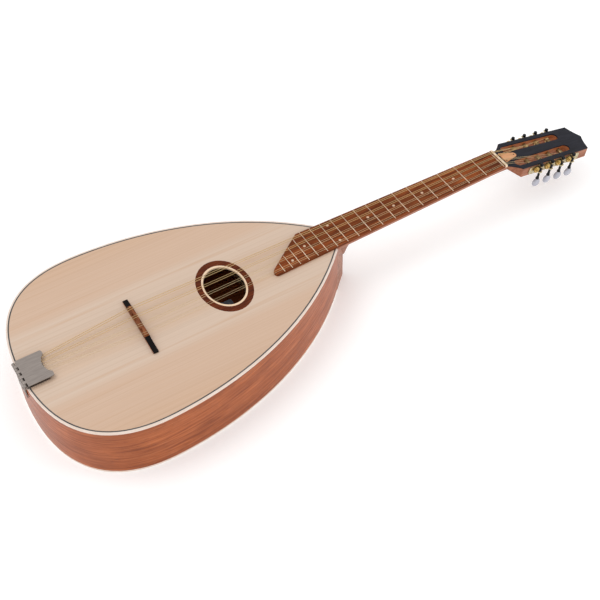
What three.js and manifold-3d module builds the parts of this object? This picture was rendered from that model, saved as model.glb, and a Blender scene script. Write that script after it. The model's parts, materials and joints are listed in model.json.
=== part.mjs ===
// A fretted, flat-backed member of the oud and long-necked lute family, lying on its back.
// Working frame, in millimetres: X runs along the neck and is 0 at the zero fret, +X towards the head,
// +Y is the bass side, and Z is 0 at the top face of the soundboard. The last lines move the origin.
import * as THREE from "three";
import { mergeVertices } from "three/addons/utils/BufferGeometryUtils.js";
import Module from "manifold-3d";

const wasm = await Module();
wasm.setup();

// Strings
const SCALE = 650;
const STRING_RADII = [0.42, 0.34, 0.25, 0.2]; // one for each course, bass to treble
const STRING_SIDES = 8;
const PAIR_GAP = { nut: 2.6, bridge: 4, tail: 3.2 };
const COURSE_SPREAD = { nut: 10.6, bridge: 17.8, tail: 7.4 };
const COURSE_CENTRE = { nut: 0.8, bridge: -3.5, tail: 2 };
const STRING_REST_GAP = 0.3;

// Body
const TAIL_X = -836;
const BODY_END_X = -326.5;
const BODY_DEPTH = 96.5;
const WIDEST_X = -686.5;
const HALF_WIDTH = 173.6;
const NECK_CORNER_Y = 28.2;
const NECK_CORNER_ANGLE = THREE.MathUtils.degToRad(45.6);
const TAIL_HANDLE = 128.9;
const WIDE_HANDLE_TAIL = 85.8;
const WIDE_HANDLE_NECK = 71.3;
const NECK_CORNER_HANDLE = 180.4;
const OUTLINE_STEPS = 22;
const SIDE_THICKNESS = 2.4;
const TOP_THICKNESS = 3;
const TOP_BINDING_HEIGHT = 3.6;
const BACK_BINDING_HEIGHT = 3.5;
const BACK_THICKNESS = 2.8;
const PURFLING_WIDTH = 2.1;
const LINING = { thickness: 6.6, height: 8 };
const BLOCK = { neckLength: 46, neckHalfWidth: 42, tailLength: 24, tailHalfWidth: 40 };
const TENON = { length: 14, halfWidth: 9, top: -8, bottom: -76 };
const BRACE = { width: 8, height: 12, tip: 3, taper: 40, edge: 13 };
const TOP_BRACES_X = [-448, -585];
const BACK_BRACES_X = [-450, -645];

// Sound hole
const HOLE_X = -510;
const HOLE_Y = -2.2;
const HOLE_RATIO = 1.33; // width across the strings over length along them
const HOLE_HALF_LENGTH = 29.8;
const RING_HALF_LENGTH = 32.5;
const ROSETTE_HALF_LENGTH = 40.8;
const ROSETTE_DEPTH = 1.2;
const HOLE_SEGMENTS = 40;

// Neck, fretboard and nut
const BASS_EDGE = { nut: 22.5, widening: 6.6 / 325, headStart: 7, headEnd: 12, headStep: 3 };
const TREBLE_EDGE = { nut: 19.45, widening: 7.32 / 325 };
const FRETBOARD = { start: 3, thickness: 4, bassEnd: -367.5, trebleEnd: -435.5, tipY: -19, corner: 6 };
const FRET_HEIGHT = 0.8;
const NUT = { start: 3, crown: 4.4, end: 7.4, height: 5.2, endHeight: 3.9, overhang: 0.15 };
const NECK_DEPTH = { nut: 15, heel: 17, headEnd: 18.4 };
const HEEL_FLARE = { start: -276, end: -297.5, curve: 0.08, ridge: 12 };
const HEAD_FLARE = { start: -25, end: 20 };
const NECK_TOP_DROP = { start: 7, slope: 0.8 }; // the shaft dives under the headplate
const HEEL_TIP = { x: -297.5, y: 4, round: 0.3 };
const NECK_ROUND_SEGMENTS = 16;
const HEEL_STATIONS = [-326.5, -297.5, -295, -292, -288, -284, -280, -276, -262];
const NECK_STATIONS = [...HEEL_STATIONS, -200, -110, -25, -14, -4, 7, 12, 20];

// Head
const HEAD_START = { x: 8, z: 1.8 };
const HEAD_PITCH = THREE.MathUtils.degToRad(10.5);
const HEAD_THICKNESS = 18.5;
const HEADPLATE_THICKNESS = 2;
const SHOULDER = { s: 21.8, y: 34.7 };
const END_CORNER = { s: 168.6, y: 30.6 };
const PEAK_S = 179.6;
const HEAD_START_HALF_WIDTH = 18.8;
const SHOULDER_CURVE = { s: 13, y: 24.8 };
const END_CURVE = { s: 172.6, y: 12.2 };
const CHEEK = { startZ: -6, innerS: 12, innerY: 7 }; // the pared underside beside the neck
const CUT_REACH = 60;
const SLOT = { start: -4.8, end: 116.2, outer: -8.1, inner: -23.7 };
const GLUE_GAP = 0.1;
const POCKET = { y: 0.8, halfWidth: 6, tipHalfWidth: 3.5, length: 20, depth: 4.5 };

// Tuners, in the frame of one bank: x along the head's side, y out of it, z out of the head's face
const TUNERS_PER_SIDE = 4;
const ROLLER = { first: 27.9, pitch: 24.5, z: -8.8, radius: 3.7, innerEnd: -29 };
const GEAR = { teeth: 14, tip: 5.2, root: 4.3, start: 2.8, end: 5.9, hub: 1.8, hubEnd: 6.8 };
const WELD = 0.5; // how far joined solids run into each other
const WORM = { offset: 8.5, y: 4.7, crest: 3, root: 2.2, ridges: 4, ridgePitch: 1.9, bottom: -28.9 };
const WORM_SHAFT = { radius: 2, capRadius: 3, capTop: 1.8, capBottom: -1.9, bevel: 0.6 };
const WORM_COLLAR = { radius: 3.1, height: 5, rim: 1 };
const BUTTON = { top: -29.2, bottom: -44.8, halfWidth: 7.8, halfThickness: 4.2, neck: 2.8, steps: 9 };
const TUNER_PLATE = { start: 14, end: 127, near: 0.3, far: 1.4, top: -3, bottom: -17.2, corner: 5 };
const LUG = { halfLength: 3.3, end: 7.8, thickness: 2, gap: 5.6 };
const SCALLOP = { halfLength: 5, depth: 4 };
const CLEARANCE = 0.3;
const STRING_LANDINGS = [21, 18.5, 21.5, 22.3]; // distance from the head's middle, nearest roller first

// Bridge and tailpiece
const BRIDGE = { x: -652.2, y: -7.75, skew: THREE.MathUtils.degToRad(-1.75), halfLength: 55.6, width: 8 };
const BRIDGE_HEIGHT = { end: 3.2, crown: 6, arch: 3 };
const BRIDGE_FOOT = 26;
const BRIDGE_SLOPE = { bass: 6, treble: 8 };
const SADDLE = { start: -25.5, end: 36.5, top: 9.6, width: 6.4, step: 1.6 };
const COVER = { y: -2, halfWidth: 26, front: -793.5, thickness: 1.2, top: 6.9, corner: 4 };
const NOTCH = { depth: 11, halfWidth: 18, handle: 10 };
const TAIL_PLATE = { halfWidth: 24.5, thickness: 1.4, front: -800, drop: 30, tangHalfWidth: 15, gap: 0.3 };
const HINGE = { x: -836.6, z: 4.4, knuckle: 2.5, knuckles: 9, leaf: 3, gap: 0.3, segments: 14 };
const HINGE_PIN = { radius: 1.1, end: 1, fit: 0.06 };
const HOOK = { x: -816, length: 3, width: 1.8, height: 4 };

const WOOD = (color) => new THREE.MeshStandardMaterial({ color, roughness: 0.55, metalness: 0 });
const METAL = (color, roughness) => new THREE.MeshStandardMaterial({ color, roughness, metalness: 1 });
const spruce = WOOD("#dcc09c");
const mahogany = WOOD("#96552f");
const rosewood = WOOD("#6b3420");
const ebony = WOOD("#1d1b1c");
const cream = new THREE.MeshStandardMaterial({ color: "#efe4cd", roughness: 0.4 });
const blackLine = WOOD("#2a2019");
const palewood = WOOD("#c9a77c");
const nickel = METAL("#a5a29e", 0.4);
const brass = METAL("#c29a4c", 0.35);
const blackSteel = METAL("#1a1a1b", 0.45);
const bronze = METAL("#b08652", 0.35);
const pearl = new THREE.MeshStandardMaterial({ color: "#c3c3cf", roughness: 0.3 });

const instrument = new THREE.Group();

function addMesh(name, geometry, material, parent = instrument) {
  const mesh = new THREE.Mesh(geometry, material);
  mesh.name = name;
  parent.add(mesh);
  return mesh;
}

// Solids for booleans

function solid(geometry) {
  const bare = geometry.index ? geometry.toNonIndexed() : geometry.clone();
  bare.deleteAttribute("normal");
  bare.deleteAttribute("uv");
  const merged = mergeVertices(bare, 1e-4);
  return new wasm.Manifold(
    new wasm.Mesh({
      numProp: 3,
      vertProperties: merged.attributes.position.array,
      triVerts: new Uint32Array(merged.index.array),
    }),
  );
}

function geometryOf(manifold) {
  const mesh = manifold.getMesh();
  const geometry = new THREE.BufferGeometry();
  geometry.setAttribute("position", new THREE.BufferAttribute(new Float32Array(mesh.vertProperties), 3));
  geometry.setIndex(new THREE.BufferAttribute(new Uint32Array(mesh.triVerts), 1));
  const flat = geometry.toNonIndexed();
  flat.computeVertexNormals();
  return flat;
}

function prism(points, low, high) {
  const shape = points instanceof THREE.Shape ? points : new THREE.Shape(points);
  const options = { depth: high - low, bevelEnabled: false, curveSegments: 6 };
  return new THREE.ExtrudeGeometry(shape, options).translate(0, 0, low);
}

function box(x0, x1, y0, y1, z0, z1) {
  const geometry = new THREE.BoxGeometry(x1 - x0, y1 - y0, z1 - z0);
  return geometry.translate((x0 + x1) / 2, (y0 + y1) / 2, (z0 + z1) / 2);
}

// A cylinder along Y, from y0 to y1, in the plane position (x, z).
function crossBore(x, z, radius, y0, y1, segments = 12) {
  const geometry = new THREE.CylinderGeometry(radius, radius, y1 - y0, segments);
  return geometry.translate(x, (y0 + y1) / 2, z);
}

// The outline of the body

function rimHalf() {
  const widest = new THREE.Vector2(WIDEST_X, HALF_WIDTH);
  const corner = new THREE.Vector2(BODY_END_X, NECK_CORNER_Y);
  const tail = new THREE.CubicBezierCurve(
    new THREE.Vector2(TAIL_X, 0),
    new THREE.Vector2(TAIL_X, TAIL_HANDLE),
    new THREE.Vector2(WIDEST_X - WIDE_HANDLE_TAIL, HALF_WIDTH),
    widest,
  );
  const shoulder = new THREE.CubicBezierCurve(
    widest,
    new THREE.Vector2(WIDEST_X + WIDE_HANDLE_NECK, HALF_WIDTH),
    new THREE.Vector2(
      BODY_END_X - NECK_CORNER_HANDLE * Math.cos(NECK_CORNER_ANGLE),
      NECK_CORNER_Y + NECK_CORNER_HANDLE * Math.sin(NECK_CORNER_ANGLE),
    ),
    corner,
  );
  return [tail, shoulder];
}

// Half of the rim, moved inwards by inset and cut off square at endX: from the tail to the neck.
function insetHalf(inset, endX = BODY_END_X) {
  const points = [];
  rimHalf().forEach((curve, part) => {
    for (let i = part; i <= OUTLINE_STEPS; i += 1) {
      const t = i / OUTLINE_STEPS;
      const along = curve.getTangent(t);
      const at = curve.getPoint(t);
      points.push(new THREE.Vector2(at.x + inset * along.y, at.y - inset * along.x));
    }
  });
  points[0].y = 0;
  while (points.at(-2).x > endX) points.pop();
  const last = points.at(-1);
  const before = points.at(-2);
  const t = (endX - before.x) / (last.x - before.x);
  last.set(endX, before.y + t * (last.y - before.y));
  return points;
}

const mirrored = (points) => points.map((p) => new THREE.Vector2(p.x, -p.y)).reverse();

// The whole outline, from the neck along the treble side, round the tail and back on the bass side.
function insetLoop(inset, endX = BODY_END_X) {
  const half = insetHalf(inset, endX);
  return [...mirrored(half), ...half.slice(1)];
}

function hoop(outer, inner, low, high, endX = BODY_END_X) {
  return prism([...insetLoop(outer, endX), ...insetLoop(inner, endX).reverse()], low, high);
}

function halfWidthAt(x, inset) {
  const points = insetHalf(inset);
  const i = points.findIndex((p, n) => n > points.length / 2 && p.x >= x);
  const [a, b] = [points[i - 1], points[i]];
  return a.y + ((b.y - a.y) * (x - a.x)) / (b.x - a.x);
}

function ellipse(halfLength) {
  const shape = new THREE.Shape();
  shape.absellipse(HOLE_X, HOLE_Y, halfLength, halfLength * HOLE_RATIO, 0, 2 * Math.PI);
  return shape.getPoints(HOLE_SEGMENTS / 2).slice(0, -1);
}

function ellipseRing(outer, inner, low, high) {
  const shape = new THREE.Shape(ellipse(outer));
  shape.holes.push(new THREE.Path(ellipse(inner)));
  return prism(shape, low, high);
}

// Body

function addSoundboard() {
  const plate = solid(prism(insetLoop(SIDE_THICKNESS + PURFLING_WIDTH), -TOP_THICKNESS, 0));
  const recess = solid(prism(ellipse(ROSETTE_HALF_LENGTH), -ROSETTE_DEPTH, 1));
  const hole = solid(prism(ellipse(RING_HALF_LENGTH), -TOP_THICKNESS - 1, 1));
  addMesh("soundboard", geometryOf(plate.subtract(recess).subtract(hole)), spruce);
  const rosette = ellipseRing(ROSETTE_HALF_LENGTH, RING_HALF_LENGTH, -ROSETTE_DEPTH, 0);
  addMesh("rosette", rosette, rosewood);
  addMesh("soundhole_ring", ellipseRing(RING_HALF_LENGTH, HOLE_HALF_LENGTH, -TOP_THICKNESS, 0), cream);
}

function addRim() {
  const top = -TOP_BINDING_HEIGHT;
  const bottom = -BODY_DEPTH + BACK_BINDING_HEIGHT;
  const bass = [...insetHalf(0).reverse(), ...insetHalf(SIDE_THICKNESS)];
  const treble = bass.map((p) => new THREE.Vector2(p.x, -p.y)).reverse();
  addMesh("side_bass", prism(bass, bottom, top), mahogany);
  addMesh("side_treble", prism(treble, bottom, top), mahogany);
  addMesh("top_binding", hoop(0, SIDE_THICKNESS, top, 0), cream);
  addMesh("back_binding", hoop(0, SIDE_THICKNESS, -BODY_DEPTH, bottom), cream);
  addMesh("purfling", hoop(SIDE_THICKNESS, SIDE_THICKNESS + PURFLING_WIDTH, -TOP_THICKNESS, 0), blackLine);
}

function addBack() {
  const plate = prism(insetLoop(SIDE_THICKNESS), -BODY_DEPTH, -BODY_DEPTH + BACK_THICKNESS);
  addMesh("back_plate", plate, mahogany);
}

function addLinings() {
  const endX = BODY_END_X - BLOCK.neckLength;
  const inner = SIDE_THICKNESS + LINING.thickness;
  const backTop = -BODY_DEPTH + BACK_THICKNESS;
  const topLining = hoop(SIDE_THICKNESS, inner, -TOP_THICKNESS - LINING.height, -TOP_THICKNESS, endX);
  const backLining = hoop(SIDE_THICKNESS, inner, backTop, backTop + LINING.height, endX);
  addMesh("top_lining", topLining, palewood);
  addMesh("back_lining", backLining, palewood);
}

function tenon() {
  const { length, halfWidth, bottom, top } = TENON;
  return solid(box(BODY_END_X - length, BODY_END_X, -halfWidth, halfWidth, bottom, top));
}

function addBlocks() {
  const low = -BODY_DEPTH + BACK_THICKNESS;
  const inside = solid(prism(insetLoop(SIDE_THICKNESS), low, -TOP_THICKNESS));
  const { neckLength, neckHalfWidth, tailLength, tailHalfWidth } = BLOCK;
  const neckBox = box(BODY_END_X - neckLength, BODY_END_X + 1, -neckHalfWidth, neckHalfWidth, low - 1, 1);
  addMesh("neck_block", geometryOf(inside.intersect(solid(neckBox)).subtract(tenon())), palewood);
  const tailEnd = TAIL_X + SIDE_THICKNESS + tailLength;
  const between = [low + LINING.height, -TOP_THICKNESS - LINING.height];
  const tailBox = box(TAIL_X - 1, tailEnd, -tailHalfWidth, tailHalfWidth, ...between);
  addMesh("tail_block", geometryOf(inside.intersect(solid(tailBox))), palewood);
}

// A cross brace glued to a plate at height z; up is 1 when it stands on the back and -1 under the top.
function brace(x, z, up) {
  const half = halfWidthAt(x, BRACE.edge);
  const profile = [
    [-half, 0],
    [half, 0],
    [half, BRACE.tip],
    [half - BRACE.taper, BRACE.height],
    [-half + BRACE.taper, BRACE.height],
    [-half, BRACE.tip],
  ].map(([y, height]) => new THREE.Vector2(y, height));
  const geometry = prism(profile, -BRACE.width / 2, BRACE.width / 2);
  geometry.rotateX(Math.PI / 2).rotateZ(Math.PI / 2);
  if (up < 0) geometry.rotateX(Math.PI);
  return geometry.translate(x, 0, z);
}

function addBraces() {
  TOP_BRACES_X.forEach((x, i) => addMesh(`top_brace_${i + 1}`, brace(x, -TOP_THICKNESS, -1), palewood));
  BACK_BRACES_X.forEach((x, i) => {
    addMesh(`back_brace_${i + 1}`, brace(x, -BODY_DEPTH + BACK_THICKNESS, 1), palewood);
  });
}

// Neck and head

// The neck's edges; behind the nut the bass edge moves in to meet the head.
const trebleEdge = (x) => x * TREBLE_EDGE.widening - TREBLE_EDGE.nut;
function bassEdge(x) {
  const { nut, widening, headStart, headEnd, headStep } = BASS_EDGE;
  return nut - x * widening - headStep * THREE.MathUtils.smoothstep(x, headStart, headEnd);
}

function neckDepth(x) {
  const { smoothstep } = THREE.MathUtils;
  const along = NECK_DEPTH.nut + (NECK_DEPTH.heel - NECK_DEPTH.nut) * smoothstep(-x, 0, -HEEL_FLARE.start);
  const head = (NECK_DEPTH.headEnd - NECK_DEPTH.nut) * smoothstep(x, HEAD_FLARE.start, HEAD_FLARE.end);
  return along + head;
}

// How far the ridge under the neck drops towards the heel.
function heelDrop(x) {
  const { start, end, curve } = HEEL_FLARE;
  const reach = THREE.MathUtils.clamp(start - x, 0, start - end);
  return curve * reach ** 2;
}

// A half-round section of unit size, stretched at each station to the neck's width and depth there.
function neckShaft() {
  const section = new THREE.Shape();
  section.absarc(0, 0, 1, Math.PI, 2 * Math.PI);
  const steps = NECK_STATIONS.length - 1;
  const options = { depth: 1, steps, bevelEnabled: false, curveSegments: NECK_ROUND_SEGMENTS };
  const geometry = new THREE.ExtrudeGeometry(section, options);
  const position = geometry.attributes.position;
  for (let i = 0; i < position.count; i += 1) {
    const x = NECK_STATIONS[Math.round(position.getZ(i) * steps)];
    const round = Math.max(-position.getY(i), 0);
    const top = Math.max(x - NECK_TOP_DROP.start, 0) * NECK_TOP_DROP.slope;
    const depth = neckDepth(x) * round + heelDrop(x) * round ** HEEL_FLARE.ridge;
    const middle = (bassEdge(x) + trebleEdge(x)) / 2;
    const halfWidth = (bassEdge(x) - trebleEdge(x)) / 2;
    position.setXYZ(i, x, middle + position.getX(i) * halfWidth, -Math.max(depth, top));
  }
  return geometry;
}

// The heel carries the lines of the sides on to a rounded edge under the neck.
function heel() {
  const { x, y, round } = HEEL_TIP;
  const slope = (x - BODY_END_X) / NECK_CORNER_Y;
  const shape = new THREE.Shape();
  shape.moveTo(BODY_END_X, -NECK_CORNER_Y);
  shape.lineTo(x - slope * y, -y);
  shape.quadraticCurveTo(x + slope * y * round, 0, x - slope * y, y);
  shape.lineTo(BODY_END_X, NECK_CORNER_Y);
  return prism(shape, -BODY_DEPTH, 0);
}

function headOutline() {
  const shape = new THREE.Shape();
  shape.moveTo(0, -HEAD_START_HALF_WIDTH);
  shape.quadraticCurveTo(SHOULDER_CURVE.s, -SHOULDER_CURVE.y, SHOULDER.s, -SHOULDER.y);
  shape.lineTo(END_CORNER.s, -END_CORNER.y);
  shape.quadraticCurveTo(END_CURVE.s, -END_CURVE.y, PEAK_S, 0);
  shape.quadraticCurveTo(END_CURVE.s, END_CURVE.y, END_CORNER.s, END_CORNER.y);
  shape.lineTo(SHOULDER.s, SHOULDER.y);
  shape.quadraticCurveTo(SHOULDER_CURVE.s, SHOULDER_CURVE.y, 0, HEAD_START_HALF_WIDTH);
  return shape;
}

const headMatrix = new THREE.Matrix4()
  .makeTranslation(HEAD_START.x, 0, HEAD_START.z)
  .multiply(new THREE.Matrix4().makeRotationY(HEAD_PITCH));

// The frame of a bank of tuners in the head's frame: its origin is the shoulder corner, x follows the side.
const sideTaper = Math.atan2(SHOULDER.y - END_CORNER.y, END_CORNER.s - SHOULDER.s);
function bankMatrix(side) {
  return new THREE.Matrix4()
    .makeScale(1, side, 1)
    .multiply(new THREE.Matrix4().makeTranslation(SHOULDER.s, SHOULDER.y, 0))
    .multiply(new THREE.Matrix4().makeRotationZ(-sideTaper));
}

// A mirrored frame turns the faces of a geometry round, so this turns them back before a boolean.
function inBank(geometry, side) {
  const placed = geometry.index ? geometry.toNonIndexed() : geometry.clone();
  placed.applyMatrix4(bankMatrix(side));
  if (side > 0) return placed;
  const array = placed.attributes.position.array;
  for (let i = 0; i < array.length; i += 9) {
    const second = array.slice(i + 3, i + 6);
    array.copyWithin(i + 3, i + 6, i + 9);
    array.set(second, i + 6);
  }
  return placed;
}

function slotPrism() {
  const radius = (SLOT.outer - SLOT.inner) / 2;
  const middle = (SLOT.outer + SLOT.inner) / 2;
  const shape = new THREE.Shape();
  shape.absarc(SLOT.end - radius, middle, radius, -Math.PI / 2, Math.PI / 2);
  shape.absarc(SLOT.start + radius, middle, radius, Math.PI / 2, 1.5 * Math.PI);
  return prism(shape, -HEAD_THICKNESS - 1, 1);
}

// The recess behind the nut that gives access to the neck, through the headplate into the wood below it.
function pocketPrism() {
  const { y, halfWidth, tipHalfWidth, length, depth } = POCKET;
  const shape = new THREE.Shape();
  shape.moveTo(-1, y - halfWidth);
  shape.lineTo(length, y - tipHalfWidth);
  shape.absarc(length, y, tipHalfWidth, -Math.PI / 2, Math.PI / 2);
  shape.lineTo(-1, y + halfWidth);
  return prism(shape, -depth, 1);
}

// A block whose face runs from beside the neck to the shoulder's lower corner and in under the head.
function cheekCut(side) {
  const beside = new THREE.Vector3(0, side * HEAD_START_HALF_WIDTH, CHEEK.startZ);
  const corner = new THREE.Vector3(SHOULDER.s, side * SHOULDER.y, -HEAD_THICKNESS);
  const under = new THREE.Vector3(CHEEK.innerS, side * CHEEK.innerY, -HEAD_THICKNESS);
  const normal = new THREE.Triangle(beside, corner, under).getNormal(new THREE.Vector3());
  if (normal.z > 0) normal.negate();
  const block = box(-CUT_REACH, CUT_REACH, -CUT_REACH, CUT_REACH, 0, CUT_REACH);
  block.applyQuaternion(new THREE.Quaternion().setFromUnitVectors(new THREE.Vector3(0, 0, 1), normal));
  return solid(block.translate(beside.x, beside.y, beside.z));
}

const rollerX = (i) => ROLLER.first + i * ROLLER.pitch;

function rollerBore(i) {
  const radius = ROLLER.radius + CLEARANCE;
  return crossBore(rollerX(i), ROLLER.z, radius, ROLLER.innerEnd - CLEARANCE, 1);
}

function cutHead(blank) {
  let head = blank.subtract(solid(pocketPrism()));
  for (const side of [1, -1]) {
    head = head.subtract(solid(inBank(slotPrism(), side)));
  }
  return head;
}

function addNeck() {
  const coreTop = -HEADPLATE_THICKNESS - GLUE_GAP;
  let core = cutHead(solid(prism(headOutline(), -HEAD_THICKNESS, coreTop)));
  for (const side of [1, -1]) {
    core = core.subtract(cheekCut(side));
    for (let i = 0; i < TUNERS_PER_SIDE; i += 1) {
      core = core.subtract(solid(inBank(rollerBore(i), side)));
    }
  }
  const placedCore = solid(geometryOf(core).applyMatrix4(headMatrix));
  const neck = solid(neckShaft()).add(solid(heel())).add(tenon()).add(placedCore);
  addMesh("neck", geometryOf(neck), mahogany);
}

function addHeadplate(head) {
  const plate = cutHead(solid(prism(headOutline(), -HEADPLATE_THICKNESS, 0)));
  addMesh("headplate", geometryOf(plate), ebony, head);
}

function addFretboard() {
  const { start, thickness, bassEnd, trebleEnd, tipY, corner } = FRETBOARD;
  const cornerX = trebleEnd + corner;
  const slant = (bassEdge(bassEnd) - tipY) / (bassEnd - trebleEnd);
  const shape = new THREE.Shape();
  shape.moveTo(start, trebleEdge(start));
  shape.lineTo(start, bassEdge(start));
  shape.lineTo(bassEnd, bassEdge(bassEnd));
  shape.lineTo(cornerX, tipY + corner * slant);
  shape.quadraticCurveTo(trebleEnd, tipY, trebleEnd, tipY - corner / 2);
  shape.quadraticCurveTo(trebleEnd, trebleEdge(trebleEnd), cornerX, trebleEdge(cornerX));
  addMesh("fretboard", prism(shape, 0, thickness), rosewood);
}

// The nut's top slopes down towards the head behind its crown, in line with the strings.
function addNut() {
  const { start, crown, end, height, endHeight, overhang } = NUT;
  const bass = bassEdge(start) + overhang;
  const treble = trebleEdge(start) - overhang;
  const profile = [
    [start, 0],
    [end, 0],
    [end, endHeight],
    [crown, height],
    [start, height],
  ].map(([x, z]) => new THREE.Vector2(x, z));
  addMesh("nut", prism(profile, -bass, -treble).rotateX(Math.PI / 2), cream);
}

// Tuners

function gearOutline() {
  const points = [];
  for (let i = 0; i < 2 * GEAR.teeth; i += 1) {
    const radius = i % 2 ? GEAR.root : GEAR.tip;
    const angle = (i * Math.PI) / GEAR.teeth;
    points.push(new THREE.Vector2(radius * Math.cos(angle), radius * Math.sin(angle)));
  }
  return points;
}

// A roller lies across its slot, along y, with the gear on its outer end.
function roller() {
  const gear = prism(gearOutline(), -GEAR.end, -GEAR.start).rotateX(Math.PI / 2);
  const shaft = crossBore(0, 0, ROLLER.radius, ROLLER.innerEnd, GEAR.start + WELD);
  const hub = crossBore(0, 0, GEAR.hub, GEAR.end - WELD, GEAR.hubEnd);
  return geometryOf(solid(gear).add(solid(shaft)).add(solid(hub)));
}

// The worm stands along z, with its ridges at the height of the roller.
function worm() {
  const { crest, root, ridges, ridgePitch, bottom } = WORM;
  const { radius, capRadius, capTop, capBottom, bevel } = WORM_SHAFT;
  const { radius: collarRadius, height: collarHeight, rim } = WORM_COLLAR;
  const firstRidge = ROLLER.z + (ridges / 2) * ridgePitch;
  const lastRoot = firstRidge - ridges * ridgePitch;
  const profile = [
    [0, capTop],
    [capRadius - bevel, capTop],
    [capRadius, capTop - bevel],
    [capRadius, capBottom],
    [radius, capBottom],
    [radius, firstRidge],
  ];
  for (let i = 0; i < ridges; i += 1) {
    const z = firstRidge - i * ridgePitch;
    profile.push([root, z], [crest, z - ridgePitch / 2]);
  }
  profile.push([root, lastRoot], [radius, lastRoot], [radius, bottom + collarHeight]);
  profile.push([collarRadius, bottom + rim], [collarRadius, bottom], [0, bottom]);
  return turned(profile, 12);
}

// A solid of revolution about z from a profile of radius and height, listed from the top down.
function turned(profile, segments) {
  const points = profile.map(([radius, z]) => new THREE.Vector2(radius, z)).reverse();
  return new THREE.LatheGeometry(points, segments).rotateX(Math.PI / 2);
}

function button() {
  const { top, bottom, halfWidth, halfThickness, neck, steps } = BUTTON;
  const middle = (top + bottom) / 2;
  const halfHeight = (top - bottom) / 2;
  const profile = [[0, top]];
  const first = Math.asin(neck / halfWidth);
  for (let i = 0; i < steps; i += 1) {
    const angle = first + ((Math.PI - first) * i) / steps;
    profile.push([halfWidth * Math.sin(angle), middle + halfHeight * Math.cos(angle)]);
  }
  profile[1][1] = top;
  profile.push([0, bottom]);
  return turned(profile, 16).scale(1, halfThickness / halfWidth, 1);
}

// The strip's outline along x and z: rounded ends, and a scallop above and below between the tuners.
function plateOutline() {
  const { start, end, top, bottom, corner } = TUNER_PLATE;
  const shape = new THREE.Shape();
  shape.moveTo(start + corner, bottom);
  for (let i = 0; i < TUNERS_PER_SIDE; i += 1) {
    const gap = rollerX(i) + WORM.offset / 2 + ROLLER.pitch / 2;
    if (i < TUNERS_PER_SIDE - 1) {
      shape.lineTo(gap - SCALLOP.halfLength, bottom);
      shape.quadraticCurveTo(gap, bottom + SCALLOP.depth, gap + SCALLOP.halfLength, bottom);
    }
  }
  shape.lineTo(end - corner, bottom);
  shape.quadraticCurveTo(end, bottom, end, bottom + corner);
  shape.lineTo(end, top - corner);
  shape.quadraticCurveTo(end, top, end - corner, top);
  for (let i = TUNERS_PER_SIDE - 2; i >= 0; i -= 1) {
    const gap = rollerX(i) + WORM.offset / 2 + ROLLER.pitch / 2;
    shape.lineTo(gap + SCALLOP.halfLength, top);
    shape.quadraticCurveTo(gap, top - SCALLOP.depth, gap - SCALLOP.halfLength, top);
  }
  shape.lineTo(start + corner, top);
  shape.quadraticCurveTo(start, top, start, top - corner);
  shape.lineTo(start, bottom + corner);
  shape.quadraticCurveTo(start, bottom, start + corner, bottom);
  return shape;
}

// One strip holds four tuners: a lug above and below each worm, and a hole for each roller.
function tunerPlate() {
  const { near, far } = TUNER_PLATE;
  const strip = prism(plateOutline(), -far, -near).rotateX(Math.PI / 2);
  let plate = solid(strip);
  for (let i = 0; i < TUNERS_PER_SIDE; i += 1) {
    const x = rollerX(i) + WORM.offset;
    for (const z of [ROLLER.z - LUG.gap, ROLLER.z + LUG.gap]) {
      const low = z - LUG.thickness / 2;
      const high = z + LUG.thickness / 2;
      const lug = solid(box(x - LUG.halfLength, x + LUG.halfLength, near, LUG.end, low, high));
      const radius = WORM_SHAFT.radius + CLEARANCE;
      const bore = new THREE.CylinderGeometry(radius, radius, LUG.thickness + 2, 12).rotateX(Math.PI / 2);
      plate = plate.add(lug).subtract(solid(bore.translate(x, WORM.y, z)));
    }
    const rollerHole = crossBore(rollerX(i), ROLLER.z, ROLLER.radius + CLEARANCE, near - 1, far + 1);
    plate = plate.subtract(solid(rollerHole));
  }
  return geometryOf(plate);
}

function addTuners(head) {
  const sides = { bass: 1, treble: -1 };
  for (const [label, side] of Object.entries(sides)) {
    const bank = new THREE.Group();
    bank.applyMatrix4(bankMatrix(side));
    head.add(bank);
    addMesh(`tuner_plate_${label}`, tunerPlate(), brass, bank);
    for (let i = 0; i < TUNERS_PER_SIDE; i += 1) {
      const x = rollerX(i);
      addMesh(`roller_${label}_${i + 1}`, roller(), brass, bank).position.set(x, 0, ROLLER.z);
      addMesh(`worm_${label}_${i + 1}`, worm(), blackSteel, bank).position.set(x + WORM.offset, WORM.y, 0);
      addMesh(`button_${label}_${i + 1}`, button(), pearl, bank).position.set(x + WORM.offset, WORM.y, 0);
    }
  }
}

// Bridge and tailpiece

// The base stands on two feet: its outline across the strings is extruded along them.
function bridgeBase() {
  const { halfLength, width } = BRIDGE;
  const { end, crown, arch } = BRIDGE_HEIGHT;
  const shape = new THREE.Shape();
  shape.moveTo(-halfLength, 0);
  shape.lineTo(-halfLength + BRIDGE_FOOT, 0);
  shape.quadraticCurveTo(0, arch, halfLength - BRIDGE_FOOT, 0);
  shape.lineTo(halfLength, 0);
  shape.lineTo(halfLength, end);
  shape.quadraticCurveTo(SADDLE.end + BRIDGE_SLOPE.bass, end, SADDLE.end, crown);
  shape.lineTo(SADDLE.start, crown);
  shape.quadraticCurveTo(SADDLE.start - BRIDGE_SLOPE.treble, end, -halfLength, end);
  return prism(shape, -width / 2, width / 2).rotateX(Math.PI / 2).rotateZ(Math.PI / 2);
}

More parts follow.
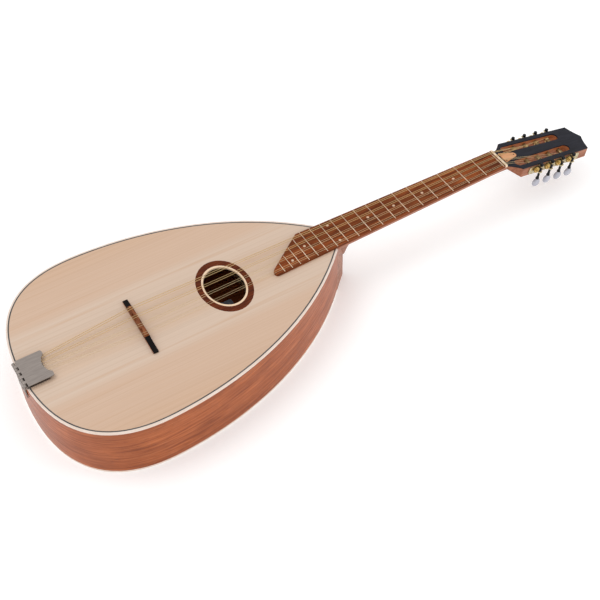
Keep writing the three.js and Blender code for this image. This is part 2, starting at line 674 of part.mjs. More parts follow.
// The saddle's crest steps along the strings, one step for each course.
function bridgeSaddle() {
  const courses = STRING_RADII.length;
  const length = (SADDLE.end - SADDLE.start) / courses;
  const front = [];
  for (let i = 0; i < courses; i += 1) {
    const x = SADDLE.width / 2 - (i % 2) * SADDLE.step;
    front.push(new THREE.Vector2(x, SADDLE.start + i * length));
    front.push(new THREE.Vector2(x, SADDLE.start + (i + 1) * length));
  }
  const back = front.map((p) => new THREE.Vector2(p.x - SADDLE.width + SADDLE.step, p.y)).reverse();
  return prism([...front, ...back], BRIDGE_HEIGHT.crown, SADDLE.top);
}

function addBridge() {
  const bridge = new THREE.Group();
  bridge.position.set(BRIDGE.x, BRIDGE.y, 0);
  bridge.rotation.z = BRIDGE.skew;
  instrument.add(bridge);
  addMesh("bridge_base", bridgeBase(), ebony, bridge);
  addMesh("bridge_saddle", bridgeSaddle(), rosewood, bridge);
}

// Knuckles take turns along the pin; the even ones, with both ends, belong to the base.
const knuckleWidth = (2 * TAIL_PLATE.halfWidth) / HINGE.knuckles;
const isBaseKnuckle = (index) => index % 2 === 0;

function knuckleSpan(index) {
  const low = COVER.y - TAIL_PLATE.halfWidth + index * knuckleWidth;
  return [low + HINGE.gap / 2, low + knuckleWidth - HINGE.gap / 2];
}

function knuckle(index) {
  return solid(crossBore(HINGE.x, HINGE.z, HINGE.knuckle, ...knuckleSpan(index), HINGE.segments));
}

function knuckleLeaf(index, x0, x1, z0, z1) {
  return solid(box(x0, x1, ...knuckleSpan(index), z0, z1));
}

// Every knuckle of one leaf, each with the strip that joins it to its plate.
function knuckles(ofBase, x0, x1, z0, z1) {
  const parts = [];
  for (let index = 0; index < HINGE.knuckles; index += 1) {
    if (isBaseKnuckle(index) === ofBase) {
      parts.push(knuckle(index).add(knuckleLeaf(index, x0, x1, z0, z1)));
    }
  }
  return parts;
}

function pinBore() {
  const reach = TAIL_PLATE.halfWidth + 2 * HINGE_PIN.end;
  const radius = HINGE_PIN.radius + HINGE_PIN.fit;
  return solid(crossBore(HINGE.x, HINGE.z, radius, COVER.y - reach, COVER.y + reach, HINGE.segments));
}

function stringOffsets(station) {
  const offsets = [];
  for (let course = 0; course < STRING_RADII.length; course += 1) {
    const middle = COURSE_CENTRE[station] + (1.5 - course) * COURSE_SPREAD[station];
    offsets.push(middle + PAIR_GAP[station] / 2, middle - PAIR_GAP[station] / 2);
  }
  return offsets;
}

function tailpieceBase() {
  const { halfWidth, thickness, front, drop, tangHalfWidth, gap } = TAIL_PLATE;
  const outer = TAIL_X - gap - thickness;
  const span = (half) => [COVER.y - half, COVER.y + half];
  let base = solid(box(outer, front, ...span(halfWidth), 0, thickness));
  base = base.add(solid(box(outer, TAIL_X - gap, ...span(tangHalfWidth), -drop, thickness)));
  const leafEnd = HINGE.x + HINGE.knuckle * 0.8;
  for (const part of knuckles(true, outer, leafEnd, thickness / 2, HINGE.z)) {
    base = base.add(part);
  }
  for (const y of stringOffsets("tail")) {
    const half = HOOK.width / 2;
    const hook = box(HOOK.x - HOOK.length, HOOK.x, y - half, y + half, thickness / 2, HOOK.height);
    base = base.add(solid(hook));
  }
  return geometryOf(base.subtract(pinBore()));
}

function coverOutline() {
  const { y, halfWidth, front, corner } = COVER;
  const back = HINGE.x + HINGE.knuckle + HINGE.gap + 1;
  const notchX = front - NOTCH.depth;
  const shape = new THREE.Shape();
  shape.moveTo(back, y - halfWidth);
  shape.lineTo(front - corner, y - halfWidth);
  shape.quadraticCurveTo(front, y - halfWidth, front, y - halfWidth + corner);
  shape.lineTo(front, y - NOTCH.halfWidth);
  shape.bezierCurveTo(notchX, y - NOTCH.handle, notchX, y + NOTCH.handle, front, y + NOTCH.halfWidth);
  shape.lineTo(front, y + halfWidth - corner);
  shape.quadraticCurveTo(front, y + halfWidth, front - corner, y + halfWidth);
  shape.lineTo(back, y + halfWidth);
  return shape;
}

function tailpieceCover() {
  const low = COVER.top - COVER.thickness;
  let cover = solid(prism(coverOutline(), low, COVER.top));
  for (const part of knuckles(false, HINGE.x, HINGE.x + HINGE.knuckle + HINGE.leaf, low, COVER.top)) {
    cover = cover.add(part);
  }
  return geometryOf(cover.subtract(pinBore()));
}

function addTailpiece() {
  addMesh("tailpiece_base", tailpieceBase(), nickel);
  addMesh("tailpiece_cover", tailpieceCover(), nickel);
  const reach = TAIL_PLATE.halfWidth + HINGE_PIN.end;
  const pin = crossBore(
    HINGE.x, HINGE.z, HINGE_PIN.radius, COVER.y - reach, COVER.y + reach, HINGE.segments
  );
  addMesh("tailpiece_pin", pin, nickel);
}

// Strings

// A curve of straight runs whose even parameter steps fall on its corners.
class StringRoute extends THREE.Curve {
  constructor(corners) {
    super();
    this.corners = corners;
  }

  getPoint(t, target = new THREE.Vector3()) {
    const runs = this.corners.length - 1;
    const at = Math.min(Math.floor(t * runs), runs - 1);
    return target.lerpVectors(this.corners[at], this.corners[at + 1], t * runs - at);
  }

  getPointAt(u, target) {
    return this.getPoint(u, target);
  }

  getTangentAt(u, target) {
    return this.getTangent(u, target);
  }
}

// Strings 0 to 3 are on the bass side. The outermost goes to the roller nearest the nut.
function stringRoute(index) {
  const radius = STRING_RADII[Math.floor(index / 2)];
  const side = index < TUNERS_PER_SIDE ? 1 : -1;
  const tuner = side > 0 ? index : 2 * TUNERS_PER_SIDE - 1 - index;
  const [nutY, bridgeY, tailY] = ["nut", "bridge", "tail"].map((station) => stringOffsets(station)[index]);
  const lift = radius + STRING_REST_GAP;
  const bridgeX = BRIDGE.x - Math.tan(BRIDGE.skew) * (bridgeY - BRIDGE.y);
  const headPoint = new THREE.Vector3(rollerX(tuner), 0, 0).applyMatrix4(bankMatrix(side));
  headPoint.y = side * STRING_LANDINGS[tuner];
  headPoint.z = ROLLER.z + ROLLER.radius + lift;
  return [
    new THREE.Vector3(HOOK.x + STRING_REST_GAP, tailY, HOOK.height - radius),
    new THREE.Vector3(bridgeX, bridgeY, SADDLE.top + lift),
    new THREE.Vector3(0, nutY, FRETBOARD.thickness + FRET_HEIGHT + lift),
    new THREE.Vector3(NUT.crown, nutY, NUT.height + lift),
    headPoint.applyMatrix4(headMatrix),
  ];
}

function addStrings() {
  for (let i = 0; i < 2 * TUNERS_PER_SIDE; i += 1) {
    const corners = stringRoute(i);
    const section = new THREE.Shape();
    section.absarc(0, 0, STRING_RADII[Math.floor(i / 2)], 0, 2 * Math.PI);
    const ring = new THREE.Shape(section.getPoints(STRING_SIDES / 2).slice(0, -1));
    const options = { steps: corners.length - 1, extrudePath: new StringRoute(corners) };
    addMesh(`string_${i + 1}`, new THREE.ExtrudeGeometry(ring, options), bronze);
  }
}

addSoundboard();
addRim();
addBack();
addLinings();
addBlocks();
addBraces();
addNeck();
addFretboard();
addNut();
const head = new THREE.Group();
head.applyMatrix4(headMatrix);
instrument.add(head);
addHeadplate(head);
addTuners(head);
addBridge();
addTailpiece();
addStrings();

// The origin is the bottom centre of the whole object's box.
const tailEnd = HINGE.x - HINGE.knuckle;
const headEnd = HEAD_START.x + PEAK_S * Math.cos(HEAD_PITCH);
instrument.position.set(-(tailEnd + headEnd) / 2, 0, BODY_DEPTH);
const oud = new THREE.Group();
oud.add(instrument);

export default oud;
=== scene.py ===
"""Looks for a flat-backed, fretted member of the oud and lute family.

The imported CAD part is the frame. This script gives every CAD node a procedural material and adds the
small pieces that ride on it: frets, position dots, screws, string coils and loops, the truss-rod cover
and the blank label. Lengths named in millimetres are turned into metres by MM; X runs from the tail to
the head, +Y is the bass side and Z is 0 under the flat back.
"""

import json
import math

import bmesh
import bpy
from mathutils import Matrix, Vector


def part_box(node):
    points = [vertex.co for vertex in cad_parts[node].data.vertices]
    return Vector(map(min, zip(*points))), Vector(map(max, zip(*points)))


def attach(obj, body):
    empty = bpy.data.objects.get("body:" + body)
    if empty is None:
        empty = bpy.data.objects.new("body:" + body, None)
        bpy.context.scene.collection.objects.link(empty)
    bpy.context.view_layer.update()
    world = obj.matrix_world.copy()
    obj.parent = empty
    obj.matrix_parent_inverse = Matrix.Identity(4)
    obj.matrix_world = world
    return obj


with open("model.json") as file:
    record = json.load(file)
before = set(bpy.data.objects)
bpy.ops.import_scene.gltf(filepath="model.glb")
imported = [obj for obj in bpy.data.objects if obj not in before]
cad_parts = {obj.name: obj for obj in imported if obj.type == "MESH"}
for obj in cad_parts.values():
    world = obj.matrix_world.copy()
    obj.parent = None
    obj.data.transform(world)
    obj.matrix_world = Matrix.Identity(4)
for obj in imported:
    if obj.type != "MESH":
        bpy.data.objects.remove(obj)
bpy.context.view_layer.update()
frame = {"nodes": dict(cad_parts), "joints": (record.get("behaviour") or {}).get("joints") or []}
nodes = frame["nodes"]
joints = {joint["name"]: joint for joint in frame["joints"]}
MM = 0.001

# Neck and fretboard
SCALE_LENGTH = 650 * MM
FRET_COUNT = 18
NUT_TO_ZERO_FRET = 3 * MM
FRET_WIDTH = 1.05 * MM
FRET_HEIGHT = 0.8 * MM
FRET_INSET = 0.25 * MM
FRET_SINK = 0.02 * MM
FRET_BEVEL = 0.5 * MM
FRET_END_SHRINK = 0.1
FRET_ARC_STEPS = 6
BASS_EDGE = 22.5 * MM  # at the zero fret
TREBLE_EDGE = 19.45 * MM
BASS_WIDENING = 6.6 / 325
TREBLE_WIDENING = 7.32 / 325
SLANT_START = 367.5 * MM  # where the bass edge of the board turns inwards, from the zero fret
SLANT_END = 429 * MM
SLANT_END_Y = -15.5 * MM
DOT_FRETS = {3: (0,), 5: (0,), 7: (0,), 9: (0,), 12: (-0.67, 0.67), 15: (0,), 17: (-0.25,)}
DOT_RADIUS = 2.2 * MM
DOT_RISE = 0.08 * MM
DOT_STEPS = 20
DOT_PROFILE = ((-0.1 * MM, 1.0), (0.4 * DOT_RISE, 1.0), (DOT_RISE, 0.8))  # height, part of the radius

# Tuners
TUNERS_PER_SIDE = 4
TUNER_SIDES = ("bass", "treble")
PLATE_FACE = 1.4 * MM  # the plate's outer face, from the line of the roller joints
GEAR_HUB_END = 6.8 * MM
WORM_OFFSET = 8.5 * MM
TUNER_PITCH = 24.5 * MM
ROLLER_RADIUS = 3.7 * MM
GEAR_START = 2.8 * MM
SLOT_OUTER, SLOT_INNER = 7.9 * MM, 23.9 * MM  # inwards from the line of the roller joints
SLOT_START, SLOT_END = -33 * MM, 88.6 * MM  # along the side, from the first roller

# Screws: the slot, the profile and the disc under the slot are parts of the head's radius and height
SCREW_RADIUS = 1.5 * MM
SCREW_HEIGHT = 0.8 * MM
GEAR_SCREW_HEIGHT = 0.6 * SCREW_HEIGHT
SMALL_SCREW_RADIUS = 1.2 * MM
SMALL_SCREW_HEIGHT = 0.45 * MM
SCREW_STEPS = 8
SCREW_HALF_SLOT = 0.14
SCREW_PROFILE = ((0.0, 1.0), (0.35, 1.0), (0.8, 0.72), (1.0, 0.35))
SCREW_FLOOR_HEIGHT = 0.3
SCREW_FLOOR_RADIUS = 0.97

# Strings
STRING_RADII = (0.42 * MM, 0.34 * MM, 0.25 * MM, 0.2 * MM)  # of each course, bass first
STRING_LANDINGS = (21 * MM, 18.5 * MM, 21.5 * MM, 22.3 * MM)  # from the X axis, on each tuner
COIL_TURNS = 4
COIL_STEPS = 16
COIL_PITCH = 2.1  # of the string's radius
LOOP_RADIUS = 1.35 * MM
LOOP_LENGTH = 1.9 * MM
LOOP_STEPS = 16
LOOP_THICKNESS = 0.8  # of the string's
TUBE_SIDES = 8

# Body
LABEL_SIZE = (58 * MM, 92 * MM)
LABEL_THICKNESS = 0.25 * MM
LABEL_CORNER = 3 * MM
LABEL_CORNER_STEPS = 4
LABEL_CORNERS = ((1, 1, 0), (-1, 1, 90), (-1, -1, 180), (1, -1, 270))  # signs, and the arc's start
TAIL_SCREWS = ((-8 * MM, -14 * MM), (8 * MM, -14 * MM), (0, -23 * MM))  # across, and from the top's level

# Truss-rod cover: S runs from the head's start towards its end, Y across it
HEAD_START = 8 * MM  # from the zero fret
ROD_COVER = {"y": 0.8 * MM, "start": 3.4 * MM, "end": 32.6 * MM, "wide": 12 * MM, "narrow": 5.4 * MM}
ROD_COVER_NECK = 27.5 * MM
ROD_COVER_THICKNESS = 1.4 * MM
ROD_COVER_BEVEL = 0.4 * MM
ROD_COVER_CORNER = 3 * ROD_COVER_BEVEL
ROD_COVER_GAP = 0.02 * MM
ROD_COVER_STEPS = 10
ROD_COVER_SCREWS = ((6 * MM, 9.2 * MM), (6 * MM, -9.2 * MM), (28 * MM, 0))

# Shading and painting of the CAD nodes
SMOOTH_ANGLE = math.radians(32)
MERGE_DISTANCE = 0.002 * MM
FACING_UP = 0.5  # the least part of a normal that points up
FACING_SIDEWAYS = 0.9

# Camera: a long lens above the treble side of the tail
CAMERA_FROM_ZERO_FRET = Vector((-0.974202, -1.033901, 1.278371))
CAMERA_FORWARD = Vector((0.324265, 0.563419, -0.759876))
CAMERA_ROLL = math.radians(-1.459)
CAMERA_LENS = 68.32
CAMERA_SENSOR = 36.0
CAMERA_CLIP_END = 100

# Studio: each area light has a name, place, aim, diameter in metres and power in watts
WHITE = (1.0, 1.0, 1.0, 1.0)
WORLD_STRENGTH = 0.88
AREA_LIGHTS = (
    ("key", (-1.4, 0.8, 2.6), (-0.1, 0, 0), 2.0, 20),
    ("fill_tail", (-2.4, -1.4, 0.8), (-0.3, 0, 0), 1.2, 6),
    ("fill_neck", (1.9, -1.5, 0.9), (0, 0, 0), 1.4, 16),
)
FLOOR_REACH = 30  # metres from the middle to each edge
FLOOR_TONES = (0.95, 0.97)
FLOOR_EMISSION = 0.12

# Shared by the materials
COAT_ROUGHNESS = 0.12
ROUGHER, SMOOTHER = 0.08, 0.06  # how far the roughness varies with the grain or the scratches
FLECK_FINENESS = 4  # flecks to one streak of the grain
PORE_SHADE = 0.25  # of the wood's dark tone
WINDING_SCALE = 900.0  # of the wave texture, about 2.9 turns to a millimetre

# Grain and texture, in cells per metre along X, Y and Z
NECK_GRAIN = (9, 240, 240)
BOARD_GRAIN = (14, 380, 380)
BRIDGE_GRAIN = (260, 14, 260)
RIM_GRAIN = (14, 14, 330)
TOP_RINGS = (1.2, 480, 1)
TOP_STREAKS = (2.2, 75, 1)
TOP_WOBBLE = (1.5, 12, 1)
PATCHES = (55, 55, 55)
SPECKS = (900, 900, 900)

# The soundboard's tones, and the tint of its bands by their distance from the middle, where 1 is the
# top's half width
TOP_HALF_WIDTH = 175 * MM
BAND_WOBBLE = 24 * MM
SPRUCE_DARK = (0.535, 0.365, 0.255)
SPRUCE_MIDDLE = (0.572, 0.398, 0.286)
SPRUCE_LIGHT = (0.592, 0.418, 0.305)
SPRUCE_STREAK = (0.53, 0.34, 0.22)
SPRUCE_BANDS = (
    (0.08, (1.03, 1.08, 1.10)),
    (0.24, (1.04, 1.09, 1.12)),
    (0.29, (1.03, 1.12, 1.20)),
    (0.44, (1.03, 1.12, 1.20)),
    (0.52, (1.00, 1.00, 1.00)),
    (0.80, (1.00, 0.99, 0.98)),
    (0.95, (0.98, 0.94, 0.89)),
)

# Dark, middle and light tones of each wood
RIM_TONES = ((0.20, 0.046, 0.014), (0.37, 0.095, 0.027), (0.50, 0.150, 0.048))
NECK_TONES = ((0.19, 0.060, 0.028), (0.34, 0.130, 0.070), (0.46, 0.195, 0.11))
CUT_TONES = ((0.26, 0.075, 0.022), (0.42, 0.135, 0.045), (0.54, 0.20, 0.075))
BOARD_TONES = ((0.045, 0.010, 0.003), (0.22, 0.048, 0.009), (0.42, 0.115, 0.026))
ROSETTE_TONES = ((0.05, 0.009, 0.002), (0.12, 0.020, 0.003), (0.22, 0.05, 0.010))
SADDLE_TONES = ((0.11, 0.030, 0.010), (0.27, 0.085, 0.030), (0.42, 0.16, 0.06))
EBONY_TONES = ((0.003, 0.003, 0.007), (0.005, 0.005, 0.012), (0.010, 0.010, 0.019))
BLACK_TONES = ((0.004, 0.003, 0.003), (0.008, 0.006, 0.006), (0.014, 0.011, 0.010))
LINE_TONES = ((0.045, 0.042, 0.040), (0.075, 0.070, 0.066), (0.11, 0.10, 0.095))
INNER_TONES = ((0.42, 0.27, 0.14), (0.55, 0.38, 0.21), (0.64, 0.46, 0.28))
COVER_TONES = ((0.50, 0.22, 0.085), (0.62, 0.29, 0.125), (0.70, 0.36, 0.18))


# Places, from the frame

board_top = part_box("fretboard")[1].z
zero_fret_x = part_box("nut")[0].x - NUT_TO_ZERO_FRET


def fret_x(number):
    return zero_fret_x - SCALE_LENGTH * (1 - 2 ** (-number / 12))


def board_edges(x):
    """The board's treble and bass edges at x; past the start of the slant the bass edge moves in."""
    reach = zero_fret_x - x
    treble = -TREBLE_EDGE - reach * TREBLE_WIDENING
    if reach <= SLANT_START:
        return treble, BASS_EDGE + reach * BASS_WIDENING
    part = (reach - SLANT_START) / (SLANT_END - SLANT_START)
    start = BASS_EDGE + SLANT_START * BASS_WIDENING
    return treble, start + (SLANT_END_Y - start) * part


def joint_frame(name):
    """A joint's place and axis, in metres in the row frame."""
    joint = joints[name]
    return Vector(joint["pos_m"]), Vector(joint["axis"]).normalized()


def bank_axes(side):
    """Unit vectors of one bank of tuners: along the head's side, out of it, and up out of the face."""
    first = joint_frame(f"drum_spin_{side}_1")[0]
    last = joint_frame(f"drum_spin_{side}_{TUNERS_PER_SIDE}")[0]
    along = (last - first).normalized()
    up = joint_frame(f"key_spin_{side}_1")[1]
    out = joint_frame(f"drum_spin_{side}_1")[1]
    if side == "treble":
        out = -out
    return along, out, up


def head_point(s, y, height):
    """A point on the head from its start, across it from the cover's middle, and above its face."""
    up = joint_frame("key_spin_bass_1")[1]
    start = Vector((zero_fret_x + HEAD_START, ROD_COVER["y"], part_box("headplate")[1].z))
    return start + Vector((up.z, 0, -up.x)) * s + Vector((0, y, 0)) + up * height


def tang_face_x():
    """The outer face of the tailpiece's tongue, from the lowest corners of its base."""
    mesh = nodes["tailpiece_base"].data
    floor = min(vertex.co.z for vertex in mesh.vertices)
    return min(vertex.co.x for vertex in mesh.vertices if vertex.co.z < floor + MM)


# Materials


def new_material(name):
    material = bpy.data.materials.new(name)
    material.use_nodes = True
    tree = material.node_tree
    return material, tree, tree.nodes["Principled BSDF"]


def add_node(tree, kind, **inputs):
    node = tree.nodes.new(kind)
    for key, value in inputs.items():
        node.inputs[key].default_value = value
    return node


def object_place(tree):
    return tree.nodes.new("ShaderNodeTexCoord").outputs["Object"]


def noise(tree, scale, detail=4.0, roughness=0.55, distortion=0.0, offset=(0, 0, 0), place=None):
    """A noise whose grain is set by scale, in cells per metre along X, Y and Z."""
    mapping = add_node(tree, "ShaderNodeMapping", Scale=scale, Location=offset)
    tree.links.new(place or object_place(tree), mapping.inputs["Vector"])
    texture = add_node(
        tree, "ShaderNodeTexNoise", Scale=1.0, Detail=detail, Roughness=roughness, Distortion=distortion
    )
    tree.links.new(mapping.outputs["Vector"], texture.inputs["Vector"])
    return texture.outputs["Fac"]


def ramp(tree, factor, stops):
    """A colour ramp through (position, colour) stops; a plain number stands for a grey."""
    node = tree.nodes.new("ShaderNodeValToRGB")
    elements = node.color_ramp.elements
    while len(elements) < len(stops):
        elements.new(0.5)
    for element, (position, colour) in zip(elements, stops):
        element.position = position
        element.color = (*colour, 1.0) if isinstance(colour, tuple) else (colour, colour, colour, 1.0)
    tree.links.new(factor, node.inputs["Fac"])
    return node.outputs["Color"]


def mix_colour(tree, factor, low, high, blend="MIX"):
    node = tree.nodes.new("ShaderNodeMix")
    node.data_type = "RGBA"
    node.blend_type = blend
    sockets = {"Factor": factor, "A": low, "B": high}
    for label, value in sockets.items():
        socket = next(s for s in node.inputs if s.name == label and s.enabled)
        if isinstance(value, bpy.types.NodeSocket):
            tree.links.new(value, socket)
        elif isinstance(value, tuple):
            socket.default_value = (*value, 1.0)
        else:
            socket.default_value = value
    return next(s for s in node.outputs if s.enabled)


def add_bump(tree, shader, height, strength, distance):
    bump = add_node(tree, "ShaderNodeBump", Strength=strength, Distance=distance)
    tree.links.new(height, bump.inputs["Height"])
    tree.links.new(bump.outputs["Normal"], shader.inputs["Normal"])


def set_finish(shader, roughness, metallic=0.0, coat=0.0, ior=1.45):
    shader.inputs["Roughness"].default_value = roughness
    shader.inputs["Metallic"].default_value = metallic
    shader.inputs["Coat Weight"].default_value = coat
    shader.inputs["Coat Roughness"].default_value = COAT_ROUGHNESS
    shader.inputs["IOR"].default_value = ior


def vary_roughness(tree, shader, factor, roughness):
    """Rougher than the given value where the factor is low, and smoother where it is high."""
    varied = ramp(tree, factor, [(0.3, roughness + ROUGHER), (0.7, roughness - SMOOTHER)])
    tree.links.new(varied, shader.inputs["Roughness"])


def wood(name, tones, grain, figure, roughness=0.42, coat=0.0, ior=1.4, pores=0.5, figure_depth=0.4):
    """Wood with its grain along the axis where the numbers in grain are small.

    tones are the dark, middle and light colours, grain the fine streaks and figure the broad bands,
    both in cells per metre along X, Y and Z. pores is how strongly the dark flecks show, and
    figure_depth how dark the bands are.
    """
    material, tree, shader = new_material(name)
    set_finish(shader, roughness, coat=coat, ior=ior)
    dark, middle, light = tones
    streaks = noise(tree, grain, detail=6.0, roughness=0.62, distortion=0.3)
    base = ramp(tree, streaks, [(0.32, dark), (0.5, middle), (0.7, light)])
    bands = noise(tree, figure, detail=4.0, distortion=0.5, offset=(3.1, 1.7, 0.4))
    band_mask = ramp(tree, bands, [(0.42, figure_depth), (0.62, 0.0)])
    figured = mix_colour(tree, band_mask, base, dark)
    fine_grain = tuple(FLECK_FINENESS * cells for cells in grain)
    flecks = noise(tree, fine_grain, detail=2.0, offset=(7.3, 2.9, 5.1))
    fleck_mask = ramp(tree, flecks, [(0.58, 0.0), (0.72, pores)])
    pore_colour = tuple(PORE_SHADE * channel for channel in dark)
    tree.links.new(mix_colour(tree, fleck_mask, figured, pore_colour), shader.inputs["Base Color"])
    vary_roughness(tree, shader, streaks, roughness)
    add_bump(tree, shader, flecks, 0.12, 0.4 * MM)
    return material


def mirrored_place(tree):
    """The object's coordinates with Y folded over the middle, and the folded Y by itself."""
    parts = tree.nodes.new("ShaderNodeSeparateXYZ")
    tree.links.new(object_place(tree), parts.inputs["Vector"])
    fold = tree.nodes.new("ShaderNodeMath")
    fold.operation = "ABSOLUTE"
    tree.links.new(parts.outputs["Y"], fold.inputs[0])
    joined = tree.nodes.new("ShaderNodeCombineXYZ")
    tree.links.new(parts.outputs["X"], joined.inputs["X"])
    tree.links.new(fold.outputs["Value"], joined.inputs["Y"])
    return joined.outputs["Vector"], fold.outputs["Value"]


def band_tint(tree, place, across):
    """The broad bands of the top: a tint set by the distance from the middle, with wavy borders."""
    wobble = noise(tree, TOP_WOBBLE, detail=3.0, offset=(0.3, 4.2, 0), place=place)
    shifted = tree.nodes.new("ShaderNodeMath")
    shifted.operation = "MULTIPLY_ADD"
    tree.links.new(wobble, shifted.inputs[0])
    shifted.inputs[1].default_value = BAND_WOBBLE
    tree.links.new(across, shifted.inputs[2])
    reach = add_node(tree, "ShaderNodeMapRange", **{"From Max": TOP_HALF_WIDTH})
    tree.links.new(shifted.outputs["Value"], reach.inputs["Value"])
    return ramp(tree, reach.outputs["Result"], SPRUCE_BANDS)


def spruce():
    """A bookmatched top: fine grain along X, with pale and pinker bands mirrored across the middle."""
    material, tree, shader = new_material("spruce_top")
    set_finish(shader, 0.42, coat=0.1)
    place, across = mirrored_place(tree)
    rings = noise(tree, TOP_RINGS, detail=4.0, roughness=0.6, distortion=0.1, place=place)
    base = ramp(tree, rings, [(0.28, SPRUCE_DARK), (0.5, SPRUCE_MIDDLE), (0.75, SPRUCE_LIGHT)])
    tinted = mix_colour(tree, 1.0, base, band_tint(tree, place, across), blend="MULTIPLY")
    streaks = noise(tree, TOP_STREAKS, detail=3.0, offset=(5.0, 1.0, 0), place=place)
    streak_mask = ramp(tree, streaks, [(0.54, 0.0), (0.72, 0.7)])
    tree.links.new(mix_colour(tree, streak_mask, tinted, SPRUCE_STREAK), shader.inputs["Base Color"])
    add_bump(tree, shader, rings, 0.05, 0.2 * MM)
    return material


def plastic(name, colour, shade, roughness, coat=0.3):
    """A hard, slightly uneven surface such as binding, bone or a pearly button."""
    material, tree, shader = new_material(name)
    set_finish(shader, roughness, coat=coat)
    patches = noise(tree, PATCHES, detail=5.0, distortion=0.6)
    tree.links.new(ramp(tree, patches, [(0.35, shade), (0.65, colour)]), shader.inputs["Base Color"])
    add_bump(tree, shader, noise(tree, SPECKS, detail=2.0), 0.05, 0.05 * MM)
    return material


def metal(name, colour, shade, roughness, brush=(300, 300, 300)):
    """Metal with brushed scratches along the axis where the numbers in brush are small."""
    material, tree, shader = new_material(name)
    set_finish(shader, roughness, metallic=1.0)
    scratches = noise(tree, brush, detail=5.0)
    tree.links.new(ramp(tree, scratches, [(0.35, shade), (0.65, colour)]), shader.inputs["Base Color"])
    vary_roughness(tree, shader, scratches, roughness)
    add_bump(tree, shader, scratches, 0.08, 0.2 * MM)
    return material


def wound_wire(name, colour, shade):
    """Fine wire wound round a core: narrow turns across the string."""
    material, tree, shader = new_material(name)
    set_finish(shader, 0.35, metallic=1.0)
    turns = add_node(tree, "ShaderNodeTexWave", Scale=WINDING_SCALE)
    turns.bands_direction = "X"
    tree.links.new(object_place(tree), turns.inputs["Vector"])
    tint = ramp(tree, turns.outputs["Fac"], [(0.2, shade), (0.7, colour)])
    tree.links.new(tint, shader.inputs["Base Color"])
    add_bump(tree, shader, turns.outputs["Fac"], 0.4, 0.06 * MM)
    return material


def make_materials():
    """Every material, by a short name for the piece or the stuff that it is on."""
    return {
        "spruce": spruce(),
        "rim": wood("mahogany_rim", RIM_TONES, RIM_GRAIN, (14, 14, 38), 0.34, coat=0.1, ior=1.24),
        "back": wood("mahogany_back", RIM_TONES, NECK_GRAIN, (2, 25, 25), 0.34, coat=0.1),
        "neck": wood("mahogany_neck", NECK_TONES, NECK_GRAIN, (4, 45, 45), 0.38, ior=1.3),
        "slot": wood("mahogany_cut", CUT_TONES, NECK_GRAIN, (5, 60, 60), ior=1.3),
        "rosewood": wood(
            "rosewood_board", BOARD_TONES, BOARD_GRAIN, (6, 80, 80), 0.5, ior=1.22, pores=0.8
        ),
        "rosette": wood(
            "rosette_wood", ROSETTE_TONES, (30, 320, 320), (20, 60, 60), 0.38, ior=1.22, pores=0.6
        ),
        "saddle": wood("saddle_wood", SADDLE_TONES, BRIDGE_GRAIN, (60, 30, 60), ior=1.25, pores=0.8),
        "ebony": wood("ebony_veneer", EBONY_TONES, NECK_GRAIN, (4, 60, 60), 0.42, ior=1.27, pores=0.3),
        "black_top": wood(
            "near_black_end", BLACK_TONES, BRIDGE_GRAIN, (60, 8, 60), 0.5, ior=1.16, pores=0.3
        ),
        "inner": wood("inside_wood", INNER_TONES, NECK_GRAIN, (4, 60, 60), 0.7, pores=0.3),
        "cover_wood": wood(
            "cover_wood", COVER_TONES, NECK_GRAIN, (20, 90, 90), 0.35, coat=0.2, pores=0.2
        ),
        "purfling": wood("purfling_line", LINE_TONES, (40, 40, 40), (20, 20, 20), pores=0.2),
        "binding": plastic("cream_binding", (0.74, 0.62, 0.54), (0.68, 0.55, 0.46), 0.35),
        "hole_ring": plastic("cream_ring", (0.80, 0.60, 0.42), (0.74, 0.53, 0.35), 0.35),
        "bone": plastic("bone_nut", (0.78, 0.62, 0.45), (0.72, 0.55, 0.38), 0.35),
        "pearl": plastic("pearl_button", (0.44, 0.44, 0.50), (0.33, 0.33, 0.38), 0.25, coat=0.5),
        "shell": plastic("shell_dot", (0.70, 0.50, 0.34), (0.55, 0.40, 0.28), 0.3),
        "paper": plastic("label_paper", (0.42, 0.47, 0.55), (0.36, 0.41, 0.5), 0.8, coat=0.0),
        "nickel": metal(
            "satin_nickel", (0.315, 0.275, 0.25), (0.27, 0.235, 0.215), 0.5, brush=(60, 700, 700)
        ),
        "fret_wire": metal("fret_nickel", (0.95, 0.78, 0.60), (0.82, 0.66, 0.48), 0.35),
        "gold": metal("gold_plate", (0.66, 0.46, 0.16), (0.36, 0.23, 0.07), 0.32),
        "plate_metal": metal("pale_brass", (0.62, 0.54, 0.36), (0.42, 0.34, 0.2), 0.35),
        # darker brass for the roller shaft inside the slot, partly painted shade of the slot
        "shaft_brass_and_shade": metal("dark_brass_and_slot_shade", (0.36, 0.26, 0.13), (0.20, 0.13, 0.06), 0.4),
        "black_steel": metal("black_steel", (0.03, 0.03, 0.032), (0.015, 0.015, 0.016), 0.4),
        "bronze": wound_wire("bronze_wire", (0.76, 0.55, 0.27), (0.55, 0.38, 0.17)),
        "steel": metal("plain_wire", (0.74, 0.58, 0.34), (0.60, 0.46, 0.26), 0.35),
    }


# The material of each CAD node, by how its name starts; the first that fits counts
NODE_MATERIALS = {
    "soundboard": "spruce",
    "side_": "rim",
    "back_plate": "back",
    "neck_block": "inner",
    "neck": "neck",
    "top_binding": "binding",
    "back_binding": "binding",
    "soundhole_ring": "hole_ring",
    "purfling": "purfling",
    "rosette": "rosette",
    "fretboard": "rosewood",
    "bridge_saddle": "saddle",
    "bridge_base": "saddle",
    "headplate": "ebony",
    "nut": "bone",
    "tail_block": "inner",
    "top_lining": "inner",
    "back_lining": "inner",
    "top_brace": "inner",
    "back_brace": "inner",
    "tailpiece": "nickel",
    "tuner_plate": "plate_metal",
    "roller": "gold",
    "worm": "black_steel",
    "button": "pearl",
    "string": "bronze",
}


